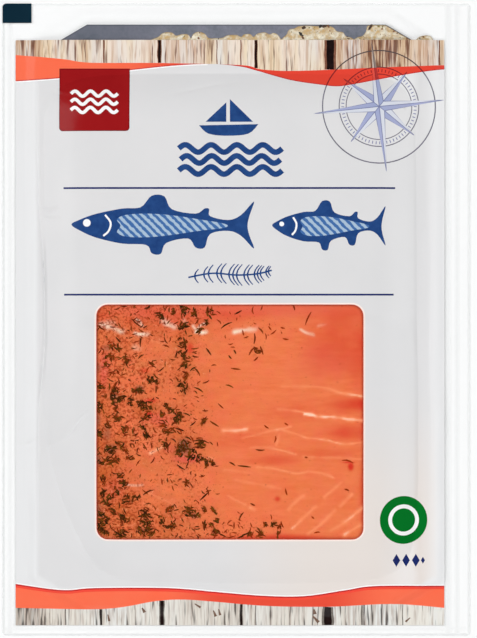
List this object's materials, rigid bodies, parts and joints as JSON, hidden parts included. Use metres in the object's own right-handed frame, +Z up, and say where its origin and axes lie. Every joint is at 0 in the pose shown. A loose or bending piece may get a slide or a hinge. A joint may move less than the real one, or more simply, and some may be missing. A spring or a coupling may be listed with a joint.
{
  "type": "pack of gravlax",
  "caption": "Flat vacuum pouch with a printed front and a clear window, holding sliced dill-cured salmon on a stiff silver board.",
  "frame": {"origin": "on the surface the pack lies on, under the middle of the pouch", "axes": "+Z up out of the printed front, +Y to the end that is up when the print is read, +X to the reader's right"},
  "size_m": [0.1584, 0.2138, 0.0068],
  "materials": {
    "printed_film": "glossy printed film",
    "clear_film": "clear glossy film, welded round the rim",
    "silver_board": "stiff board with a silver-grey coated face",
    "salmon": "moist raw cured salmon",
    "dill": "chopped dill, damp",
    "marinade": "golden oily marinade with dark specks"
  },
  "bodies": {
    "root": {"pouch": "printed_film", "board": "silver_board", "slice_upper": "salmon", "slice_lower": "salmon"}
  },
  "joints": []
}
